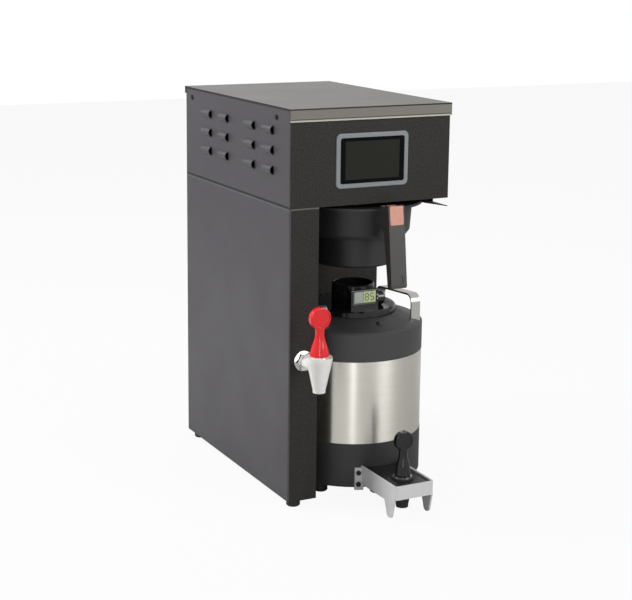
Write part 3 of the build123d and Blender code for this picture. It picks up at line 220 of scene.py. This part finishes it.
# Side and rear panels: folded sheet steel, powder coated dark grey and screwed to the pan.
# A dark joint parts the lower panels from the head, with a painted highlight along the edge below it.
# The sheet's top and front edges, where they are folded in, carry painted shade: dark lines for the shade
# in those seams.
joint_black = (0.001, 0.001, 0.001)
painted_seam_shade = (0.004, 0.004, 0.004)
painted_edge_highlight = (0.1, 0.1, 0.11)
joint_up, joint_w = 0.001, 0.004
edge_down, edge_w = 0.002, 0.0016
top_fold_down, top_fold_w = 0.001, 0.004
front_fold_in, front_fold_w = 0.0008, 0.0034


def stripe(finish, axis, place, width, colour):
    """A narrow line across the finish, where the coordinate along one axis is near a place."""
    tree = finish.node_tree
    shader = tree.nodes["Principled BSDF"]
    under = shader.inputs["Base Color"].links[0].from_socket
    where = tree.nodes.new("ShaderNodeTexCoord")
    split = tree.nodes.new("ShaderNodeSeparateXYZ")
    tree.links.new(where.outputs["Object"], split.inputs[0])
    near = tree.nodes.new("ShaderNodeMath")
    near.operation = "COMPARE"
    near.inputs[1].default_value = place
    near.inputs[2].default_value = width / 2
    tree.links.new(split.outputs[axis], near.inputs[0])
    mix = tree.nodes.new("ShaderNodeMix")
    mix.data_type = "RGBA"
    mix.inputs["B"].default_value = (*colour, 1)
    tree.links.new(near.outputs[0], mix.inputs["Factor"])
    tree.links.new(under, mix.inputs["A"])
    tree.links.new(mix.outputs["Result"], shader.inputs["Base Color"])


panel_paint = grained("panel_paint", colour=(0.051, 0.0475, 0.055), rough=0.42, grain=1500, bump=0.35)
coat(panel_paint, "lower_left_panel", "lower_right_panel", "louvred_panels", "rear_panel")
joint_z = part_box("head_front_panel")[0][2]
head_side_low, head_side_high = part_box("louvred_panels")
stripe(panel_paint, "Z", joint_z + joint_up, joint_w, joint_black)
# painted highlight: a light line along the lower panels' top edge, below the joint
stripe(panel_paint, "Z", joint_z - edge_down, edge_w, painted_edge_highlight)
# painted shade: dark lines along the panels' top edge under the cover and along the front edge
stripe(panel_paint, "Z", head_side_high[2] - top_fold_down, top_fold_w, painted_seam_shade)
stripe(panel_paint, "Y", head_side_low[1] + front_fold_in, front_fold_w, painted_seam_shade)

# Front of the head, front of the column and walls of the bay: folded sheet steel in a coarser,
# blacker textured paint, fastened to the side panels. The column's top edge catches the light.
rim_light = (0.13, 0.13, 0.11)
rim_down, rim_w = 0.001, 0.002
front_paint = grained("front_paint", colour=(0.0215, 0.02, 0.0178), rough=0.5, grain=450, bump=0.9,
                      uneven=0.5, shine=0.25)
coat(front_paint, "head_front_panel", "column_front", "column_inner_wall", "bay_back_wall")
column_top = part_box("column_front")[1][2]
stripe(front_paint, "Z", column_top - rim_down, rim_w, rim_light)

# Water works inside the casing: a welded steel tank on legs with its heating element, level probe
# and spray head. They are dull stainless steel, as are the server's liner and the filter basket.


def metal(name, colour, rough, grain, stretch, bump):
    """Bare or blacked metal, with fine lines that are long along the axes of small stretch."""
    line_detail = 4
    darkest, lightest = 0.92, 1.05
    gloss_swing = 0.04
    line_height = 0.0002
    finish = bpy.data.materials.new(name)
    finish.use_nodes = True
    tree = finish.node_tree
    shader = tree.nodes["Principled BSDF"]
    shader.inputs["Metallic"].default_value = 1
    place = tree.nodes.new("ShaderNodeTexCoord")
    scale = tree.nodes.new("ShaderNodeMapping")
    scale.inputs["Scale"].default_value = stretch
    tree.links.new(place.outputs["Object"], scale.inputs["Vector"])
    lines = noise(tree, scale.outputs[0], grain, line_detail)
    tint(tree, shader, colour, spread(tree, lines, darkest, lightest))
    gloss = spread(tree, lines, rough - gloss_swing, rough + gloss_swing)
    tree.links.new(gloss, shader.inputs["Roughness"])
    roughen(tree, shader, lines, bump, line_height)
    return finish


even = (1, 1, 1)
dull_steel = metal("dull_steel", colour=(0.6, 0.58, 0.55), rough=0.35, grain=100, stretch=even, bump=0.1)
coat(dull_steel, "water_tank", "heating_element", "level_probe", "spray_head")

# Pipes of the water works: a bent copper pipe brings the water in from the valve.
# Grey silicone hoses carry it from the tank to the spray head and to the hot-water faucet.
copper = metal("copper", colour=(0.72, 0.4, 0.26), rough=0.3, grain=80, stretch=even, bump=0.1)
coat(copper, "inlet_pipe")
seal_rubber = grained("seal_rubber", colour=(0.2, 0.19, 0.18), rough=0.55, grain=800, bump=0.2, uneven=0.1)
coat(seal_rubber, "dispense_pipe", "hot_water_pipe")

# Valves, gland and power switch: black glossy mouldings. One valve sits on the rear panel and one on
# the tank, the gland is nutted to the rear panel, and the switch's housing with its rocker is clipped in.
gloss_plastic = grained("gloss_plastic", colour=(0.007, 0.007, 0.008), rough=0.16, grain=500, bump=0.03,
                        uneven=0.1)
coat(gloss_plastic, "inlet_valve", "dispense_valve", "cord_gland", "switch_housing", "switch_rocker")

# Control board: a green fibreglass circuit board with a slightly uneven lacquer.
# It stands on posts over the head's floor.
board_green = grained("board_green", colour=(0.01, 0.08, 0.03), rough=0.4, grain=600, bump=0.2, uneven=0.2)
coat(board_green, "control_board")

# Top cover: a folded steel sheet in lighter grey paint, laid over the head. Its flanges reach inside.
# Its front lip is hemmed. Its band is painted lighter, as painted light falling on the front; a painted
# shade line runs under the fold, a painted highlight along the hem, and a thin painted shade line above it.
cover_paint = grained("cover_paint", colour=(0.175, 0.169, 0.165), rough=0.58, grain=1500, bump=0.3,
                      shine=0.2)
coat(cover_paint, "top_cover")
cover_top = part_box("top_cover")[1][2]
lip_h, lip_margin, painted_lip_light = 0.02, 0.001, (0.22, 0.21, 0.185)
fold_down, fold_w, painted_fold_shade = 0.0012, 0.0022, (0.03, 0.03, 0.028)
hem_up, hem_w, painted_hem_highlight = 0.001, 0.0026, (0.55, 0.53, 0.45)
shade_up, shade_w, hem_shade = 0.0036, 0.001, (0.08, 0.078, 0.07)
hem_z = cover_top - lip_h
# painted light: the lip's front band is painted lighter than the top of the cover
stripe(cover_paint, "Z", cover_top - lip_h / 2, lip_h - lip_margin, painted_lip_light)
# painted shade under the fold, painted highlight along the hem, and a thin painted shade line above the hem
stripe(cover_paint, "Z", cover_top - fold_down, fold_w, painted_fold_shade)
stripe(cover_paint, "Z", hem_z + hem_up, hem_w, painted_hem_highlight)
stripe(cover_paint, "Z", hem_z + shade_up, shade_w, hem_shade)

# Screws of the cover and of the faucet guard: small steel screws, blacked in oil.
# They go through the louvred panels into the cover's flanges, and through the guard's into the base.
black_screw = metal("black_screw", colour=(0.03, 0.03, 0.032), rough=0.35, grain=900, stretch=even,
                    bump=0.1)
coat(black_screw, "cover_screws", "guard_screws")

# Touch screen: a satin grey plastic bezel, snapped into the head, round a sheet of black glass.
# The glass is smooth, and the display behind it shows as a field of slightly lighter grey.
bezel_plastic = grained("bezel_plastic", colour=(0.24, 0.262, 0.275), rough=0.35, grain=2200, bump=0.2,
                        uneven=0.08)
coat(bezel_plastic, "screen_bezel")
glass_black = (0.0035, 0.0042, 0.005)
field_grey = (0.026, 0.027, 0.022)
field_half_w, field_half_h = 0.0476, 0.0297
field_aside = 0.0007
glass = grained("screen_glass", colour=glass_black, rough=0.13, grain=30, bump=0.0, uneven=0.1, shine=0.12)
coat(glass, "touch_screen")
glass_low, glass_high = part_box("touch_screen")
tree = glass.node_tree
shader = tree.nodes["Principled BSDF"]
place = tree.nodes.new("ShaderNodeTexCoord")
centred = tree.nodes.new("ShaderNodeMapping")
centred.vector_type = "TEXTURE"
centred.inputs["Location"].default_value = ((glass_low[0] + glass_high[0]) / 2 + field_aside, 0,
                                            (glass_low[2] + glass_high[2]) / 2)
centred.inputs["Scale"].default_value = (field_half_w, 1, field_half_h)
tree.links.new(place.outputs["Object"], centred.inputs["Vector"])
away = tree.nodes.new("ShaderNodeVectorMath")
away.operation = "ABSOLUTE"
tree.links.new(centred.outputs[0], away.inputs[0])
sides = tree.nodes.new("ShaderNodeSeparateXYZ")
tree.links.new(away.outputs[0], sides.inputs[0])
furthest = tree.nodes.new("ShaderNodeMath")
furthest.operation = "MAXIMUM"
tree.links.new(sides.outputs["X"], furthest.inputs[0])
tree.links.new(sides.outputs["Z"], furthest.inputs[1])
inside = tree.nodes.new("ShaderNodeMath")
inside.operation = "LESS_THAN"
inside.inputs[1].default_value = 1.0
tree.links.new(furthest.outputs[0], inside.inputs[0])
shown = tree.nodes.new("ShaderNodeMix")
shown.data_type = "RGBA"
shown.inputs["A"].default_value = (*glass_black, 1)
shown.inputs["B"].default_value = (*field_grey, 1)
tree.links.new(inside.outputs[0], shown.inputs["Factor"])
tree.links.new(shown.outputs["Result"], shader.inputs["Base Color"])

# Brew cone: one moulding in black heat resistant plastic with a satin grain, hung on its rails.
# A pressed steel basket with a perforated floor drops into it.
cone_plastic = grained("cone_plastic", colour=(0.016, 0.016, 0.018), rough=0.42, grain=1800, bump=0.35,
                       uneven=0.15)
coat(cone_plastic, "brew_cone", "cone_cup", "cone_rim")
coat(dull_steel, "filter_basket")

# Pull handle of the cone: a moulded grip in greyer plastic, screwed to the cone's front.
# A copper coloured insert is pressed into its top.
grip_plastic = grained("grip_plastic", colour=(0.06, 0.058, 0.055), rough=0.38, grain=1800, bump=0.3,
                       uneven=0.15)
coat(grip_plastic, "cone_handle")
copper_insert = grained("copper_insert", colour=(0.68, 0.33, 0.25), rough=0.35, grain=900, bump=0.2,
                        uneven=0.2)
coat(copper_insert, "cone_handle_insert")

# Hot-water faucet: a white moulded body, held to the column by a chromed nut and washer.
# A glossy red lever on the chromed bonnet pulls up the rubber seat.
white_plastic = grained("white_plastic", colour=(0.8, 0.79, 0.76), rough=0.25, grain=400, bump=0.05,
                        uneven=0.03)
coat(white_plastic, "hot_faucet_body")
red_plastic = grained("red_plastic", colour=(0.78, 0.012, 0.017), rough=0.14, grain=300, bump=0.05,
                      uneven=0.06)
coat(red_plastic, "hot_faucet_lever")
chrome = metal("chrome", colour=(0.72, 0.72, 0.72), rough=0.14, grain=60, stretch=even, bump=0.02)
coat(chrome, "hot_faucet_nut", "hot_faucet_bonnet")
coat(seal_rubber, "hot_faucet_stem")

# Server's barrel: a shell of brushed stainless steel, rolled and welded round a drawn liner.
# The brush lines run round it, so lamps show on it as tall streaks.
barrel_steel = metal("barrel_steel", colour=(0.76, 0.735, 0.67), rough=0.33, grain=400,
                     stretch=(0.05, 0.05, 1), bump=0.06)
barrel_shader = barrel_steel.node_tree.nodes["Principled BSDF"]
barrel_shader.inputs["Anisotropic"].default_value = 0.85
barrel_shader.inputs["Anisotropic Rotation"].default_value = 0.25
coat(barrel_steel, "server_shell")
coat(dull_steel, "server_liner")

# Server's base and collar: black mouldings with a fine grain, clamped on the shell's two ends.
# The collar is the lighter of the two and carries the latch button.
body_plastic = grained("body_plastic", colour=(0.022, 0.022, 0.023), rough=0.48, grain=1400, bump=0.6,
                       uneven=0.2)
coat(body_plastic, "server_base")
collar_plastic = grained("collar_plastic", colour=(0.042, 0.041, 0.042), rough=0.46, grain=1400,
                         bump=0.6, uneven=0.15)
coat(collar_plastic, "server_collar")
coat(gloss_plastic, "latch_button")

# Strap handles: two straps of brushed flat steel, bent down at both ends.
# Their ends are let into slots in the collar's shoulder.
strap_steel = metal("strap_steel", colour=(0.55, 0.53, 0.5), rough=0.3, grain=300,
                    stretch=(1, 0.05, 0.3), bump=0.2)
coat(strap_steel, "strap_handles")

# Server's lid: a glossy black moulding with a brew-through funnel, on a steel pin at its rear.
# It carries the display's housing, and a grey gasket seals it.
coat(gloss_plastic, "server_lid", "display_housing")
coat(chrome, "lid_hinge_pin")
coat(seal_rubber, "lid_gasket")

# Server's display: a grey-green liquid crystal panel behind clear plastic, set in the housing.
# It has a pale status field at the left, and a brighter one behind the number.
status_at, status_w, status_green = 0.25, 0.38, (0.42, 0.47, 0.42)
field_at, field_w, field_green = 0.725, 0.53, (0.55, 0.65, 0.33)
border_h, border_green = 0.006, (0.1, 0.11, 0.08)
display_glass = grained("display_glass", colour=border_green, rough=0.2, grain=300, bump=0.0, uneven=0.1)
coat(display_glass, "display_screen")
display_low, display_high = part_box("display_screen")
display_w = display_high[0] - display_low[0]
display_h = display_high[2] - display_low[2]
stripe(display_glass, "X", display_low[0] + status_at * display_w, status_w * display_w, status_green)
stripe(display_glass, "X", display_low[0] + field_at * display_w, field_w * display_w, field_green)
stripe(display_glass, "Z", display_low[2], border_h, border_green)

# Number on the display: two figures, each made of the dark bars that a liquid crystal panel has.
# The bars stand a little proud of the panel.
bar_w, bar_deep, bar_chamfer = 0.0013, 0.0004, 0.0001
digit_w, digit_h = 0.0058, 0.0112
number_up, first_across, second_across = 0.57, 0.6, 0.83
bars = {"top": (0, 0.5), "upper left": (-0.5, 0.25), "upper right": (0.5, 0.25), "middle": (0, 0),
        "lower left": (-0.5, -0.25), "lower right": (0.5, -0.25), "bottom": (0, -0.5)}
digits = ((first_across, tuple(bars)),
          (second_across, ("top", "upper left", "middle", "lower right", "bottom")))


def one_piece(name, blocks, chamfer, steps):
    """Joins blocks into one piece with chamfered edges, and puts its place in its mesh."""
    bpy.ops.object.select_all(action="DESELECT")
    for block in blocks:
        block.select_set(True)
    piece = blocks[0]
    bpy.context.view_layer.objects.active = piece
    bpy.ops.object.join()
    bpy.ops.object.transform_apply(location=True, rotation=True, scale=True)
    bpy.ops.object.mode_set(mode="EDIT")
    bpy.ops.mesh.select_all(action="SELECT")
    bpy.ops.mesh.bevel(offset=chamfer, segments=steps, affect="EDGES")
    bpy.ops.object.mode_set(mode="OBJECT")
    piece.name = name
    return piece


bpy.ops.object.select_all(action="DESELECT")
blocks = []
for across, lit in digits:
    for bar in lit:
        over, up = bars[bar]
        place = (display_low[0] + across * display_w + over * digit_w, display_low[1],
                 display_low[2] + number_up * display_h + up * digit_h)
        level = over == 0
        size = (digit_w - bar_w, bar_deep, bar_w) if level else (bar_w, bar_deep, digit_h / 2 - bar_w)
        bpy.ops.mesh.primitive_cube_add(size=1, location=place, scale=size)
        blocks.append(bpy.context.object)
number = one_piece("display_number", blocks, bar_chamfer, 1)
display_ink = grained("display_ink", colour=(0.03, 0.035, 0.025), rough=0.5, grain=900, bump=0.0,
                      uneven=0.2)
number.data.materials.append(display_ink)
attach(number, "lid")

# Tell-tales of the display: two small white windows of moulded plastic, one above the other.
# They are pressed into the housing beside the panel.
window_size, window_deep, window_chamfer = 0.0021, 0.0006, 0.0002
window_aside, window_ups = 0.0024, (0.4, 0.66)
housing_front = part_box("display_housing")[0][1]
bpy.ops.object.select_all(action="DESELECT")
blocks = []
for up in window_ups:
    place = (display_high[0] + window_aside, housing_front, display_low[2] + up * display_h)
    bpy.ops.mesh.primitive_cube_add(size=1, location=place, scale=(window_size, window_deep, window_size))
    blocks.append(bpy.context.object)
lights = one_piece("display_lights", blocks, window_chamfer, 2)
light_white = grained("light_white", colour=(0.75, 0.75, 0.72), rough=0.3, grain=900, bump=0.0, uneven=0.05)
lights.data.materials.append(light_white)
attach(lights, "lid")

# Server faucet: a black moulded body on a chromed nut, screwed through the server's base.
# A glossy black lever on the chromed bonnet pulls up the rubber seat.
coat(body_plastic, "server_faucet_body")
coat(chrome, "server_faucet_nut", "server_faucet_bonnet")
coat(gloss_plastic, "server_faucet_lever")
coat(seal_rubber, "server_faucet_stem")

# Faucet guard: one strip bent round the server faucet, with two legs, in smooth light grey paint.
# Its flanges are screwed to the server's base, and a glossy black drip tray sits inside it.
guard_plastic = grained("guard_plastic", colour=(0.66, 0.66, 0.66), rough=0.4, grain=1400, bump=0.2,
                        uneven=0.05)
coat(guard_plastic, "faucet_guard")
tray_plastic = grained("tray_plastic", colour=(0.009, 0.009, 0.01), rough=0.26, grain=500, bump=0.1,
                       uneven=0.1, shine=0.25)
coat(tray_plastic, "guard_tray")
